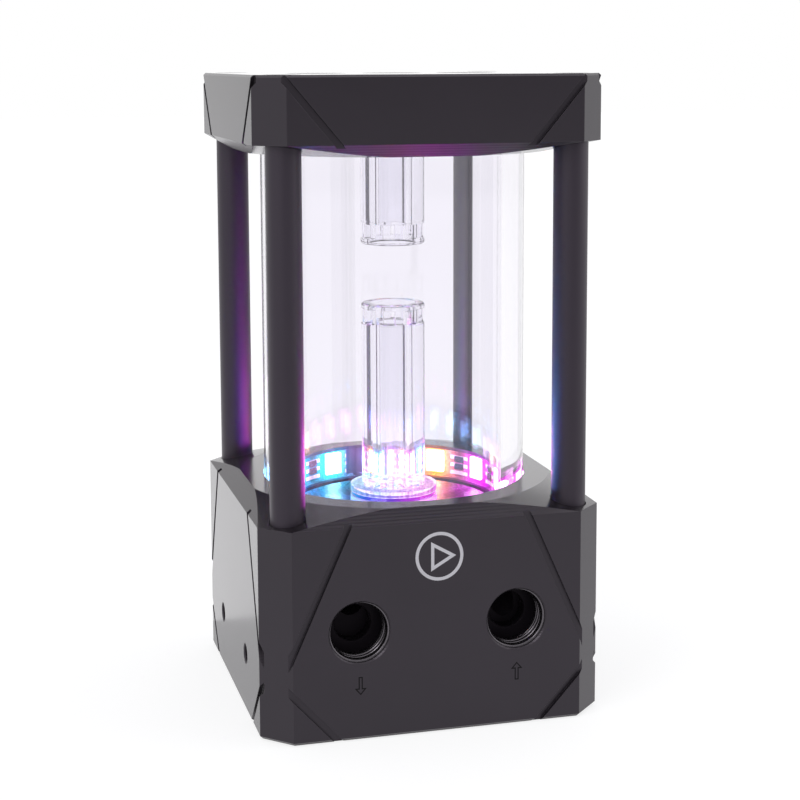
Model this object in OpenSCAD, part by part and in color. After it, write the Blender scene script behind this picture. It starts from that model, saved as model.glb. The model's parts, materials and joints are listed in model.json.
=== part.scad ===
// Pump and reservoir unit for a liquid cooling loop.
// A square base block holds the pump and carries a glass tube, four posts and a lid block.
// The origin is at the centre of the underside, +Z is up, and the two hose ports face -Y.

/* [Blocks] */
// Side of the square base and lid
block_w = 76; // [75:0.5:78]
// Length taken off each face by the upright corner chamfers
corner_cut = 6.1; // [5.5:0.1:7]
// Overall height
total_h = 140.5; // [120:0.5:200]
// Height of the flat ring on top of the base
base_h = 49; // [48.5:0.1:49.5]
// Thickness of the lid, from its flat under ring to its top
lid_t = 17.1; // [16:0.1:20]
// Height of the sloping shoulder between an upright face and the flat ring
shoulder_h = 2.8; // [2:0.1:3.5]
// How far the shoulder runs in from the face
shoulder_in = 3.5; // [2.5:0.1:4]
// Radius of the flat ring round the tube
ring_r = 35.8; // [35:0.1:37]
// Bevel round the underside of the base
foot_bevel = 0.7; // [0.3:0.1:1.5]
// Bevel round the top of the lid
lid_bevel = 0.5; // [0.3:0.1:1]
// Width of the decorative grooves
groove_w = 1.5; // [1:0.1:2]
// Depth of the decorative grooves
groove_d = 0.9; // [0.5:0.1:1.2]

/* [Reservoir] */
// Outer diameter of the glass tube
tube_od = 60; // [59:0.5:60.5]
// Wall of the glass tube
tube_wall = 5; // [4:0.5:5]
// Height of the reservoir floor
floor_z = 41.2; // [41:0.1:41.5]
// Diameter of the corner posts
post_d = 7.5; // [7:0.1:8]
// Distance between post centres along X and along Y
post_pitch = 62.8; // [62:0.1:63.5]
// Outer diameter of the two clear pipes
pipe_od = 14.6; // [14:0.1:15]
// Bore of the two clear pipes
pipe_bore = 6.4; // [6:0.1:8]
// Height of the top of the riser pipe
riser_top = 88.5; // [70:0.5:95]
// Height of the bottom of the drop pipe
drop_foot = 102; // [98:0.5:110]
// Windows round the crown of each pipe
crown_windows = 8; // [6:1:10]
// Lamps on the light strip
led_count = 13; // [10:1:14]

/* [Ports] */
// Radius of the G1/4 ports, over the thread
port_r = 6.58; // [6.5:0.01:6.65]
// Depth of the G1/4 ports
port_depth = 10.5; // [9:0.1:11]
// Distance of the two front ports from the centre plane
port_x = 17.4; // [17:0.1:18]
// Height of the two front ports
port_z = 23.5; // [22:0.1:24]
// Distance of the outer lid ports from the centre one
lid_port_x = 17.5; // [17:0.1:18]
// Distance between the two bracket holes in the left face
bracket_pitch = 30; // [28:0.5:32]
// Height of the bracket holes
bracket_z = 13.2; // [12:0.1:15]

/* [Pump] */
// Radius of the motor's cavity in the base
motor_bore_r = 25; // [24.8:0.1:25.2]
// Radius of the impeller over its vanes
impeller_r = 12.8; // [12:0.1:12.8]
// Curved vanes on the impeller
vane_count = 7; // [5:1:8]
// Poles of the stator
pole_count = 6; // [6:1:8]

/* [Hidden] */
$fn = 64;
eps = 0.01;
through = 200;

// Blocks
half_w = block_w / 2;
corner_reach = (block_w - corner_cut) / sqrt(2);
base_shoulder_z = base_h - shoulder_h;
lid_ring_z = total_h - lid_t;
lid_shoulder_z = lid_ring_z + shoulder_h;

// Grooves, each as two points [across the face, up the face] on the right half of a face
chamfer_edge = half_w - corner_cut;
upper_groove = [[20, base_shoulder_z], [chamfer_edge, 19.6]];
lower_groove = [[chamfer_edge, 10.7], [22.1, 0]];
lid_groove = [[32.3, total_h - 1], [21.1, lid_shoulder_z]];
groove_overrun = 5;

// Ports and bracket holes
port_bevel = 0.35;
lid_passage_r = 4.5;
bracket_hole_r = 2.1;
bracket_hole_depth = 7;
bracket_bevel = 0.3;

// Tube, its seats and seals
tube_r = tube_od / 2;
tube_in_r = tube_r - tube_wall;
seat_gap = 0.2;
seat_depth = 2.6;
seal_t = 1.4;
tube_foot = floor_z - seat_depth + seal_t;
tube_head = lid_ring_z + seat_depth;

// Light strip and its undercut channel behind the tube
channel_r = 33;
channel_z0 = floor_z + 0.2;
channel_z1 = base_h - 0.8;
strip_t = 0.25;
strip_in_r = channel_r - strip_t;
strip_h = 6.6;
led_side = 5;
led_h = 1.6;
led_lens_r = 1.9;
led_lens_d = 0.3;
chip = [0.6, 3.2, 1.4];
chip_seat = strip_in_r - sqrt(pow(strip_in_r, 2) - pow(chip.y / 2, 2));
led_first = 53.1;
led_step = 360 / led_count;
led_z = (channel_z0 + channel_z1) / 2;
led_seat = strip_in_r - sqrt(pow(strip_in_r, 2) - pow(led_side / 2, 2));
strip_gap = led_first + 1.5 * led_step;
strip_gap_w = 6;
wire_hole_r = 1.3;

// Posts and their screws
post_r = post_d / 2;
post_gap = 0.2;
post_c = post_pitch / 2;
post_foot = 40;
post_head = lid_ring_z + 7;
CORNERS = [[-1, -1], [1, -1], [-1, 1], [1, 1]];
screw_r = 2;
screw_gap = 0.2;
screw_bite = 9;
screw_head_r = 3.5;
screw_head_h = 4;
screw_well_r = 3.9;
screw_well_d = 4.6;
hex_key = 3;

// Clear pipes
pipe_r = pipe_od / 2;
bore_r = pipe_bore / 2;
crown_ring_h = 1.4;
crown_window_h = 3.2;
crown_window_w = 2.6;
crown_bore_r = 5.4;
crown_waist = 0.3;
crown_waist_over = 0.2;
pipe_round = 0.6;
pipe_fit = 0.05;
foot_window_w = 1.6;
foot_window_h = 1.4;
flange_r = 10;
flange_t = 1.4;
flange_top = 46.3;
riser_seal_t = 1;
riser_seal_z = flange_top - flange_t - riser_seal_t;
seat_bore_r = 4.2;
spigot_r = 5.5;
spigot_h = 2.5;
eye_r = 5.2;
drop_socket_top = lid_ring_z + 5;
drop_seal_t = 1.4;
drop_head = drop_socket_top - drop_seal_t;

// Pump chamber and passages
chamber_z0 = 30.8;
chamber_z1 = 38;
volute_r0 = 13.6;
volute_growth = 3.2;
volute_tongue = 235;
duct_r = 2.8;
neck_bore_r = 17;
motor_top = 24.5;
out_duct = [[-14.5, -6, 35], [-17.2, -29, 26.6]];
in_duct = [[9.7, -11.8, 44.4], [18.1, -29.5, 22.6]];

// Motor and rotor
housing_r = 24.6;
housing_z0 = 5;
housing_z1 = motor_top - 0.2;
housing_cavity_r = 22.7;
housing_ceiling = 22.7;
neck_r = 16.8;
neck_top = 30;
neck_in_r = 14.4;
can_z = 27.6;
can_r = 13.6;
can_t = 0.5;
can_top = 30.6;
bearing_post_r = 1.4;
ball_r = 2.2;
ball_hold = 1.3;
ball_fit = 0.05;
magnet_r = 13;
magnet_t = 4;
magnet_top = 28.6;
magnet_hole_r = 4;
cup_r = 3.4;
cup_z0 = 26.9;
cup_z1 = 30.4;
hub_top = 31.4;
vane_h = 3.8;
vane_t = 1.1;
vane_root_r = 4.8;
vane_sweep = 75;
shroud_t = 1.1;
eye_collar_r = eye_r - 0.6;
eye_collar_t = 1.1;
eye_collar_top = chamber_z1 - 0.4;
yoke_z0 = 9;
yoke_t = 4;
yoke_in_r = 13.4;
pole_c = 17.8;
pole_r = 2.6;
shoe_z0 = 17;
shoe_w = 9;
shoe_in_r = 10;
shoe_gap = 0.5;
coil_r = 4.7;
seal_groove_r = 15.4;
seal_groove_z = 25.4;
seal_groove_h = 2;

// Underside
cover_z0 = 3.2;
cover_rim_r = 21.4;
board_z0 = 6.4;
board_t = 1.6;
board_r = 22.4;
ring_well_r = 31;
clamp_z0 = 1;
clamp_in_r = 22.6;
clamp_screw_c = 28;
clamp_screw_r = 1.5;
clamp_screw_l = 8;
clamp_hole_depth = 12;
clamp_head_h = 1.5;
clamp_seat_z = 2;
clamp_key = 2;
clamp_head_r = 2.8;
dial_x = 12;
dial_r = 4.6;
dial_z0 = 1.3;
dial_shaft_r = 2.45;
dial_hole_r = 2.5;
dial_slot = [6, 1, 0.9];
dial_notch_r = 0.7;
control_side = 7;
control_t = 0.6;
control_hole_r = 1.2;

// Cable outlet in the rear face
outlet_z = 12;
outlet_r = 4;
outlet_flange_r = 5.7;
outlet_flange_t = 1.5;
grommet_l = 7;
grommet_recess = 0.2;
cable_r = 2.6;

// ---- helpers ----

// Copies its children onto all four side faces
module on_each_face() {
    for (turn = [0 : 90 : 270]) rotate(turn) children();
}

// Runs its children at every post position
module at_corners() {
    for (c = CORNERS) translate([c.x * post_c, c.y * post_c, 0]) children();
}

// Round bar between two points
module bar(ends, r) {
    span = ends[1] - ends[0];
    run = norm([span.x, span.y]);
    translate(ends[0])
        rotate([0, atan2(run, span.z), atan2(span.y, span.x)])
            cylinder(r = r, h = norm(span));
}

// Flat-sided ring with a slightly rounded section, as a squeezed rubber seal has
module seal(r0, r1, z0, z1) {
    bulge = min(r1 - r0, z1 - z0) * 0.3;
    rotate_extrude()
        polygon([
            [r0 + bulge, z0], [r1 - bulge, z0], [r1, z0 + bulge], [r1, z1 - bulge],
            [r1 - bulge, z1], [r0 + bulge, z1], [r0, z1 - bulge], [r0, z0 + bulge]
        ]);
}

// Ring with a rectangular section
module collar(r0, r1, z0, z1) {
    translate([0, 0, z0])
        difference() {
            cylinder(r = r1, h = z1 - z0);
            translate([0, 0, -1]) cylinder(r = r0, h = z1 - z0 + 2);
        }
}

// Screw with a hexagon socket head, pointing up from z = 0 at the underside of its head
module socket_screw(r, length, head_r, head_h, key) {
    cylinder(r = r, h = length);
    translate([0, 0, -head_h])
        difference() {
            cylinder(r = head_r, h = head_h);
            translate([0, 0, -1]) cylinder(r = key / sqrt(3), h = head_h / 2 + 1, $fn = 6);
        }
}

// Straight groove across the front face between two points [x, z], running out past both
module face_groove(ends) {
    span = ends[1] - ends[0];
    translate([ends[0].x, -half_w, ends[0].y])
        rotate([0, -atan2(span.y, span.x), 0])
            translate([-groove_overrun, -1, -groove_w / 2])
                cube([norm(span) + 2 * groove_overrun, 1 + groove_d, groove_w]);
}

// A groove and its mirror image, on all four faces
module grooves(ends) {
    on_each_face() {
        face_groove(ends);
        mirror([1, 0, 0]) face_groove(ends);
    }
}

// Side view of a block standing on z = 0, to the given half width: bevel below, shoulder above
module block_profile(reach, height, bevel) {
    polygon([
        [-reach + bevel, 0], [reach - bevel, 0], [reach, bevel],
        [reach, height - shoulder_h], [reach - shoulder_in, height],
        [-reach + shoulder_in, height], [-reach, height - shoulder_h], [-reach, bevel]
    ]);
}

// Side view over the corners, where a cone makes the shoulder instead
module corner_profile(reach, height, bevel) {
    polygon([
        [-reach + bevel, 0], [reach - bevel, 0], [reach, bevel],
        [reach, height], [-reach, height], [-reach, bevel]
    ]);
}

// Square block with chamfered corners, standing on z = 0, its flat ring on top.
// Planes form the shoulder above each face and a shallow cone forms it above each corner.
module block(height, bevel) {
    cone_r = norm([half_w, chamfer_edge]);
    intersection() {
        seen_along(0) block_profile(half_w, height, bevel);
        seen_along(90) block_profile(half_w, height, bevel);
        seen_along(45) corner_profile(corner_reach, height, bevel);
        seen_along(135) corner_profile(corner_reach, height, bevel);
        union() {
            cylinder(r = block_w, h = height - shoulder_h);
            translate([0, 0, height - shoulder_h - eps])
                cylinder(r1 = cone_r + 0.1, r2 = ring_r, h = shoulder_h + eps);
        }
    }
}

// A side view drawn through the whole block, turned by the given heading
module seen_along(heading) {
    rotate(heading)
        rotate([90, 0, 0])
            linear_extrude(height = through, center = true)
                children();
}

// G1/4 port sunk along +Y from a mouth at the origin, with a small bevel at the mouth
module port() {
    rotate([-90, 0, 0]) {
        translate([0, 0, -1]) cylinder(r = port_r, h = port_depth + 1);
        translate([0, 0, -eps]) cylinder(r1 = port_r + port_bevel, r2 = port_r, h = port_bevel);
    }
}

// ---- blocks ----

module base_block() {
    color([0.19, 0.18, 0.2])
    difference() {
        block(base_h, foot_bevel);
        grooves(upper_groove);
        grooves(lower_groove);
        reservoir_pit();
        light_channel();
        pump_chamber();
        motor_cavity();
        base_ports();
        at_corners() base_post_hole();
        cable_outlet();
    }
}

// Bore that takes the tube, down to the reservoir floor and the deeper seat under the tube
module reservoir_pit() {
    translate([0, 0, floor_z]) cylinder(r = tube_r + seat_gap, h = base_h);
    collar(tube_in_r - seat_gap, tube_r + seat_gap, floor_z - seat_depth, floor_z + eps);
}

// Undercut channel for the light strip, and the hole that its leads go down
module light_channel() {
    translate([0, 0, channel_z0]) cylinder(r = channel_r, h = channel_z1 - channel_z0);
    rotate(strip_gap)
        translate([channel_r - wire_hole_r, 0, outlet_z])
            cylinder(r = wire_hole_r, h = channel_z0 - outlet_z + eps);
}

// Spiral chamber round the impeller, its suction eye, and the ducts to the two front ports
module pump_chamber() {
    translate([0, 0, chamber_z0])
        linear_extrude(height = chamber_z1 - chamber_z0)
            polygon([for (a = [0 : 6 : 354]) volute_radius(a) * heading(a + volute_tongue)]);
    translate([0, 0, chamber_z1 - 1]) cylinder(r = eye_r, h = floor_z);
    bar(out_duct, duct_r);
    bar(in_duct, duct_r);
}

// Radius of the spiral, growing with the turn of the impeller
function volute_radius(a) = volute_r0 + volute_growth * a / 360;

function heading(a) = [cos(a), sin(a)];

// Stepped cavity that takes the motor from below
module motor_cavity() {
    translate([0, 0, -1]) cylinder(r = motor_bore_r, h = motor_top + 1);
    cylinder(r = neck_bore_r, h = chamber_z0 + eps);
    translate([0, 0, -1]) cylinder(r = ring_well_r, h = cover_z0 + 1);
    clamp_screw_places() cylinder(r = clamp_screw_r, h = clamp_hole_depth);
}

module clamp_screw_places() {
    for (turn = [45 : 90 : 315]) rotate(turn) translate([clamp_screw_c, 0, 0]) children();
}

module base_ports() {
    for (side = [-1, 1]) {
        translate([side * port_x, -half_w, port_z]) port();
        translate([-half_w, side * bracket_pitch / 2, bracket_z])
            rotate([0, 90, 0]) {
                translate([0, 0, -1]) cylinder(r = bracket_hole_r, h = bracket_hole_depth + 1);
                translate([0, 0, -eps])
                    cylinder(r1 = bracket_hole_r + bracket_bevel, r2 = bracket_hole_r, h = bracket_bevel);
            }
    }
}

module base_post_hole() {
    translate([0, 0, post_foot]) cylinder(r = post_r + post_gap, h = base_h);
    cylinder(r = screw_r + screw_gap, h = post_foot + 1);
    translate([0, 0, -1]) cylinder(r = screw_well_r, h = screw_well_d + 1);
}

module cable_outlet() {
    translate([0, half_w + 1, outlet_z])
        rotate([90, 0, 0]) {
            cylinder(r = outlet_r, h = half_w - motor_bore_r + 4);
            cylinder(r = outlet_flange_r, h = outlet_flange_t + 1);
        }
}

module lid_block() {
    color([0.19, 0.18, 0.2])
    difference() {
        translate([0, 0, total_h]) mirror([0, 0, 1]) block(lid_t, lid_bevel);
        grooves(lid_groove);
        collar(tube_in_r - seat_gap, tube_r + seat_gap, lid_ring_z - 1, tube_head + seal_t);
        for (side = [-1, 0, 1]) {
            translate([side * lid_port_x, 0, total_h]) rotate([-90, 0, 0]) port();
            translate([side * lid_port_x, 0, lid_ring_z - 1]) cylinder(r = lid_passage_r, h = lid_t);
        }
        translate([0, 0, lid_ring_z - 1])
            cylinder(r = pipe_r + pipe_fit, h = drop_socket_top - lid_ring_z + 1);
        at_corners() {
            translate([0, 0, lid_ring_z - 1]) cylinder(r = post_r + post_gap, h = post_head - lid_ring_z + 1);
            cylinder(r = screw_r + screw_gap, h = total_h);
            translate([0, 0, total_h - screw_well_d]) cylinder(r = screw_well_r, h = screw_well_d + 1);
        }
    }
}

// ---- posts and their screws ----

module post(side_x, side_y) {
    color([0.2, 0.19, 0.21])
    translate([side_x * post_c, side_y * post_c, 0])
        difference() {
            translate([0, 0, post_foot]) cylinder(r = post_r, h = post_head - post_foot);
            translate([0, 0, post_foot - 1]) cylinder(r = screw_r, h = screw_bite + 2);
            translate([0, 0, post_head - screw_bite - 1]) cylinder(r = screw_r, h = screw_bite + 2);
        }
}

module post_front_left() { post(-1, -1); }
module post_front_right() { post(1, -1); }
module post_back_left() { post(-1, 1); }
module post_back_right() { post(1, 1); }

module upper_post_screws() {
    seat = total_h - screw_well_d;
    color([0.15, 0.15, 0.16])
    at_corners()
        translate([0, 0, seat])
            mirror([0, 0, 1])
                socket_screw(screw_r, seat - post_head + screw_bite, screw_head_r, screw_head_h, hex_key);
}

module lower_post_screws() {
    color([0.15, 0.15, 0.16])
    at_corners()
        translate([0, 0, screw_well_d])
            socket_screw(screw_r, post_foot - screw_well_d + screw_bite, screw_head_r, screw_head_h, hex_key);
}

// ---- tube and seals ----

module glass_tube() {
    color([0.93, 0.92, 0.98, 0.3]) collar(tube_in_r, tube_r, tube_foot, tube_head);
}

module lower_tube_seal() {
    color([0.08, 0.08, 0.08]) seal(tube_in_r + 0.4, tube_r - 0.4, tube_foot - seal_t, tube_foot);
}

module upper_tube_seal() {
    color([0.08, 0.08, 0.08]) seal(tube_in_r + 0.4, tube_r - 0.4, tube_head, tube_head + seal_t);
}

// ---- clear pipes ----

// What is cut from a pipe's open end at z = 0, with the pipe going down from it: a wider bore,
// a waist a little narrower than the pipe and its end ring, and the windows in that waist
module crown_cuts() {
    window_z = -crown_ring_h - crown_window_h;
    translate([0, 0, window_z]) cylinder(r = crown_bore_r, h = crown_window_h + crown_ring_h + 1);
    collar(pipe_r - crown_waist, pipe_r + 1, window_z - crown_waist_over, -crown_ring_h + crown_waist_over);
    for (i = [0 : crown_windows - 1])
        rotate((i + 0.5) * 360 / crown_windows)
            translate([0, -crown_window_w / 2, window_z])
                cube([pipe_r + 1, crown_window_w, crown_window_h]);
}

// Outline of the pipe as a revolve, with the end ring rounded over
module pipe_body(length) {
    wall = pipe_r - bore_r;
    rotate_extrude() {
        translate([bore_r, -length]) square([wall, length - pipe_round]);
        translate([bore_r, -pipe_round - eps]) square([wall - pipe_round, pipe_round + eps]);
        translate([pipe_r - pipe_round, -pipe_round]) circle(r = pipe_round);
    }
}

// Stands on the seal with its flange, and has small inlet windows at its foot
module riser_pipe() {
    foot = flange_top - flange_t;
    color([0.95, 0.94, 1, 0.35])
    difference() {
        union() {
            translate([0, 0, riser_top]) pipe_body(riser_top - foot + spigot_h);
            collar(bore_r, flange_r, foot, flange_top);
        }
        translate([0, 0, riser_top]) crown_cuts();
        collar(spigot_r, pipe_r + 1, foot - spigot_h - 1, foot);
        for (i = [0 : crown_windows - 1])
            rotate(i * 360 / crown_windows)
                translate([0, -foot_window_w / 2, flange_top])
                    cube([pipe_r + 1, foot_window_w, foot_window_h]);
    }
}

// Ring that the pipe is screwed into, with a spigot that fits the suction eye
module riser_seat() {
    color([0.95, 0.94, 1, 0.35])
    difference() {
        union() {
            translate([0, 0, floor_z]) cylinder(r = flange_r, h = riser_seal_z - floor_z);
            translate([0, 0, chamber_z1 + 0.5]) cylinder(r = eye_r - pipe_fit, h = floor_z - chamber_z1);
        }
        translate([0, 0, chamber_z1]) cylinder(r = seat_bore_r, h = flange_top);
        translate([0, 0, flange_top - flange_t - spigot_h]) cylinder(r = spigot_r + pipe_fit, h = flange_top);
    }
}

module riser_seal() {
    color([0.05, 0.05, 0.06])
        seal(spigot_r + 0.3, flange_r - 0.25, riser_seal_z, riser_seal_z + riser_seal_t);
}

module drop_pipe() {
    color([0.95, 0.94, 1, 0.35])
    translate([0, 0, drop_foot])
        mirror([0, 0, 1])
            difference() {
                pipe_body(drop_head - drop_foot);
                crown_cuts();
            }
}

module drop_pipe_seal() {
    color([0.08, 0.08, 0.08]) seal(bore_r + 0.8, pipe_r - 0.3, drop_head, drop_socket_top);
}

// ---- light strip ----

module led_strip() {
    color([0.92, 0.92, 0.9])
    difference() {
        collar(strip_in_r, channel_r, led_z - strip_h / 2, led_z + strip_h / 2);
        rotate(strip_gap) translate([0, -strip_gap_w / 2, 0]) cube([channel_r + 1, strip_gap_w, base_h]);
    }
}

// Places its children on the strip, facing the tube, at a turn counted in lamps from the first
module on_strip(lamps) {
    rotate(led_first + lamps * led_step)
        translate([strip_in_r, 0, led_z])
            children();
}

module led_packages() {
    color([0.95, 0.95, 0.92])
    for (i = [0 : led_count - 1])
        on_strip(i)
            difference() {
                translate([-led_h, -led_side / 2, -led_side / 2])
                    cube([led_h - led_seat, led_side, led_side]);
                translate([-led_h - 1, 0, 0])
                    rotate([0, 90, 0])
                        cylinder(r = led_lens_r, h = led_lens_d + 1);
            }
}

// Pairs of chips between the lamps, with none in the strip's gap
module strip_resistors() {
    color([0.1, 0.1, 0.1])
    for (i = [2 : led_count], z = [-chip.z - 0.2, 0.2])
        on_strip(i + 0.5)
            translate([-chip.x - chip_seat, -chip.y / 2, z]) cube(chip);
}

// ---- motor ----

module motor_housing() {
    color([0.25, 0.25, 0.27])
    difference() {
        union() {
            translate([0, 0, housing_z0]) cylinder(r = housing_r, h = housing_z1 - housing_z0);
            translate([0, 0, housing_z0]) cylinder(r = neck_r, h = neck_top - housing_z0);
        }
        translate([0, 0, housing_z0 - 1])
            cylinder(r = housing_cavity_r, h = housing_ceiling - housing_z0 + 1);
        translate([0, 0, housing_z0]) cylinder(r = neck_in_r, h = neck_top);
        collar(seal_groove_r, neck_r + 1, seal_groove_z, seal_groove_z + seal_groove_h);
        translate([0, 0, outlet_z]) rotate([-90, 0, 0]) cylinder(r = cable_r, h = motor_bore_r);
    }
}

module pump_seal() {
    color([0.08, 0.08, 0.08])
        seal(seal_groove_r, neck_bore_r - 0.02, seal_groove_z + 0.1, seal_groove_z + seal_groove_h - 0.1);
}

// Runs its children at every stator pole
module at_poles() {
    for (i = [0 : pole_count - 1]) rotate(i * 360 / pole_count) translate([pole_c, 0, 0]) children();
}

// Yoke ring, pole posts, and shoes that follow the round of the can
module stator_core() {
    shoe_out_r = pole_c + pole_r + 1;
    color([0.55, 0.55, 0.57]) {
        collar(yoke_in_r, housing_cavity_r - 0.05, yoke_z0, yoke_z0 + yoke_t);
        at_poles()
            translate([0, 0, yoke_z0 + yoke_t - 1])
                cylinder(r = pole_r, h = shoe_z0 - yoke_z0 - yoke_t + 2);
        difference() {
            intersection() {
                collar(shoe_in_r, shoe_out_r, shoe_z0, housing_ceiling);
                for (i = [0 : pole_count - 1])
                    rotate(i * 360 / pole_count)
                        translate([0, -shoe_w / 2, shoe_z0])
                            cube([shoe_out_r + 1, shoe_w, housing_ceiling]);
            }
            translate([0, 0, can_z]) sphere(r = can_r + can_t + shoe_gap);
        }
    }
}

module stator_coils() {
    color([0.72, 0.4, 0.2])
        at_poles() collar(pole_r + 0.05, coil_r, yoke_z0 + yoke_t, shoe_z0);
}

// Round-bottomed cup that keeps the coolant away from the stator
module separator_can() {
    outer = can_r + can_t;
    color([0.75, 0.76, 0.78])
    difference() {
        union() {
            intersection() {
                translate([0, 0, can_z]) sphere(r = outer);
                cylinder(r = outer + 1, h = can_z);
            }
            translate([0, 0, can_z - eps]) cylinder(r = outer, h = can_top - can_z + eps);
            translate([0, 0, neck_top]) cylinder(r = neck_r, h = can_top - neck_top);
        }
        translate([0, 0, can_z]) sphere(r = can_r);
        translate([0, 0, can_z]) cylinder(r = can_r, h = can_top);
    }
}

// Pin whose foot rests in the bottom of the can and whose head holds the ball
module bearing_post() {
    foot_z = can_z - sqrt(can_r * can_r - bearing_post_r * bearing_post_r) + eps;
    color([0.75, 0.76, 0.78])
    difference() {
        translate([0, 0, foot_z]) cylinder(r = bearing_post_r, h = can_z - ball_hold - foot_z);
        translate([0, 0, can_z]) sphere(r = ball_r);
    }
}

module bearing_ball() {
    color([0.95, 0.94, 0.9]) translate([0, 0, can_z]) sphere(r = ball_r);
}

// ---- rotor ----

// Socket that runs on the ball
module bearing_cup() {
    color([0.3, 0.3, 0.3])
    difference() {
        translate([0, 0, cup_z0]) cylinder(r = cup_r, h = cup_z1 - cup_z0);
        translate([0, 0, can_z]) sphere(r = ball_r + ball_fit);
    }
}

// Bowl-shaped magnet that turns inside the can
module rotor_magnet() {
    color([0.22, 0.22, 0.24])
    difference() {
        intersection() {
            translate([0, 0, can_z]) sphere(r = magnet_r);
            translate([0, 0, can_z - can_r]) cylinder(r = can_r, h = magnet_top - can_z + can_r);
        }
        translate([0, 0, can_z]) sphere(r = magnet_r - magnet_t);
        translate([0, 0, can_z - can_r]) cylinder(r = magnet_hole_r, h = can_r);
    }
}

// Points of one side of a vane, swept back from root to tip
function vane_side(shift) = [
    for (s = [0 : 0.1 : 1])
        let (
            r = vane_root_r + s * (impeller_r - vane_root_r),
            a = -vane_sweep * s + shift / r * 180 / PI
        )
        r * heading(a)
];

function reversed(list) = [for (i = [len(list) - 1 : -1 : 0]) list[i]];

// Hub disc with swept-back vanes, recessed underneath for the bearing cup
module impeller() {
    color([0.85, 0.85, 0.82])
    difference() {
        union() {
            translate([0, 0, magnet_top]) cylinder(r = magnet_r, h = hub_top - magnet_top);
            for (i = [0 : vane_count - 1])
                rotate(i * 360 / vane_count)
                    translate([0, 0, hub_top - eps])
                        linear_extrude(height = vane_h + eps)
                            polygon(concat(vane_side(-vane_t / 2), reversed(vane_side(vane_t / 2))));
        }
        cylinder(r = cup_r, h = cup_z1);
    }
}

// Cover over the vanes, with the collar round its eye
module impeller_shroud() {
    z = hub_top + vane_h;
    color([0.85, 0.85, 0.82]) {
        collar(eye_collar_r, impeller_r, z, z + shroud_t);
        collar(eye_collar_r, eye_collar_r + eye_collar_t, z, eye_collar_top);
    }
}

// ---- electronics and underside ----

module control_board() {
    color([0.05, 0.3, 0.15])
    difference() {
        translate([0, 0, board_z0]) cylinder(r = board_r, h = board_t);
        translate([dial_x, 0, 0]) cylinder(r = control_hole_r, h = through);
    }
}

// Two capacitors, the driver chip and the coil terminals above the board, the speed control below
module board_parts() {
    top = board_z0 + board_t;
    capacitor_r = 3;
    capacitor_h = 4.6;
    driver = [7, 7, 1.1];
    terminal = 2.4;
    color([0.12, 0.12, 0.13]) {
        for (side = [-1, 1]) translate([side * 5, -6, top]) cylinder(r = capacitor_r, h = capacitor_h);
        translate([-driver.x / 2, 2, top]) cube(driver);
        at_poles()
            translate([-terminal / 2, -terminal / 2, top])
                cube([terminal, terminal, yoke_z0 - top]);
        translate([dial_x, 0, board_z0 - control_t])
            difference() {
                translate([-control_side / 2, -control_side / 2, 0])
                    cube([control_side, control_side, control_t]);
                translate([0, 0, -1]) cylinder(r = control_hole_r, h = control_t + 2);
            }
    }
}

// Rear cover: a disc with a rim that carries the board, and a hole for the dial's shaft
module motor_cover() {
    color([0.2, 0.2, 0.22])
    difference() {
        union() {
            translate([0, 0, cover_z0]) cylinder(r = housing_r, h = housing_z0 - cover_z0);
            collar(cover_rim_r, housing_cavity_r - 0.1, cover_z0, board_z0);
        }
        translate([dial_x, 0, 0]) cylinder(r = dial_hole_r, h = through);
    }
}

// Knob with a screwdriver slot and a pointer notch, on a shaft through the cover
module speed_dial() {
    knob_t = cover_z0 - 0.3 - dial_z0;
    color([0.7, 0.12, 0.1])
    translate([dial_x, 0, dial_z0])
        difference() {
            union() {
                cylinder(r = dial_r, h = knob_t);
                cylinder(r = dial_shaft_r, h = board_z0 - control_t - 0.3 - dial_z0);
            }
            translate([-dial_slot.x / 2, -dial_slot.y / 2, -1])
                cube([dial_slot.x, dial_slot.y, dial_slot.z + 1]);
            translate([dial_r, 0, -1]) cylinder(r = dial_notch_r, h = through);
        }
}

module clamp_ring() {
    color([0.3, 0.3, 0.32])
    difference() {
        collar(clamp_in_r, ring_well_r - 0.2, clamp_z0, cover_z0);
        clamp_screw_places() cylinder(r = clamp_screw_r + screw_gap, h = clamp_screw_l);
        clamp_screw_places()
            translate([0, 0, -1]) cylinder(r = clamp_head_r + screw_gap, h = clamp_seat_z + 1);
    }
}

module clamp_screws() {
    color([0.6, 0.6, 0.62])
    clamp_screw_places()
        translate([0, 0, clamp_seat_z])
            socket_screw(clamp_screw_r - 0.02, clamp_screw_l, clamp_head_r, clamp_head_h, clamp_key);
}

module cable_grommet() {
    color([0.08, 0.08, 0.08])
    translate([0, half_w, outlet_z])
        rotate([90, 0, 0]) {
            collar(cable_r, outlet_flange_r - 0.1, grommet_recess, outlet_flange_t);
            collar(cable_r, outlet_r - 0.05, grommet_recess, grommet_l);
        }
}

base_block();
lid_block();
post_front_left();
post_front_right();
post_back_left();
post_back_right();
upper_post_screws();
lower_post_screws();
glass_tube();
lower_tube_seal();
upper_tube_seal();
riser_pipe();
riser_seat();
riser_seal();
drop_pipe();
drop_pipe_seal();
led_strip();
led_packages();
strip_resistors();
motor_housing();
pump_seal();
stator_core();
stator_coils();
separator_can();
bearing_post();
bearing_ball();
bearing_cup();
rotor_magnet();
impeller();
impeller_shroud();
control_board();
board_parts();
motor_cover();
speed_dial();
clamp_ring();
clamp_screws();
cable_grommet();
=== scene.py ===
import json
import math

import bmesh
import bpy
from mathutils import Matrix, Vector


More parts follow.
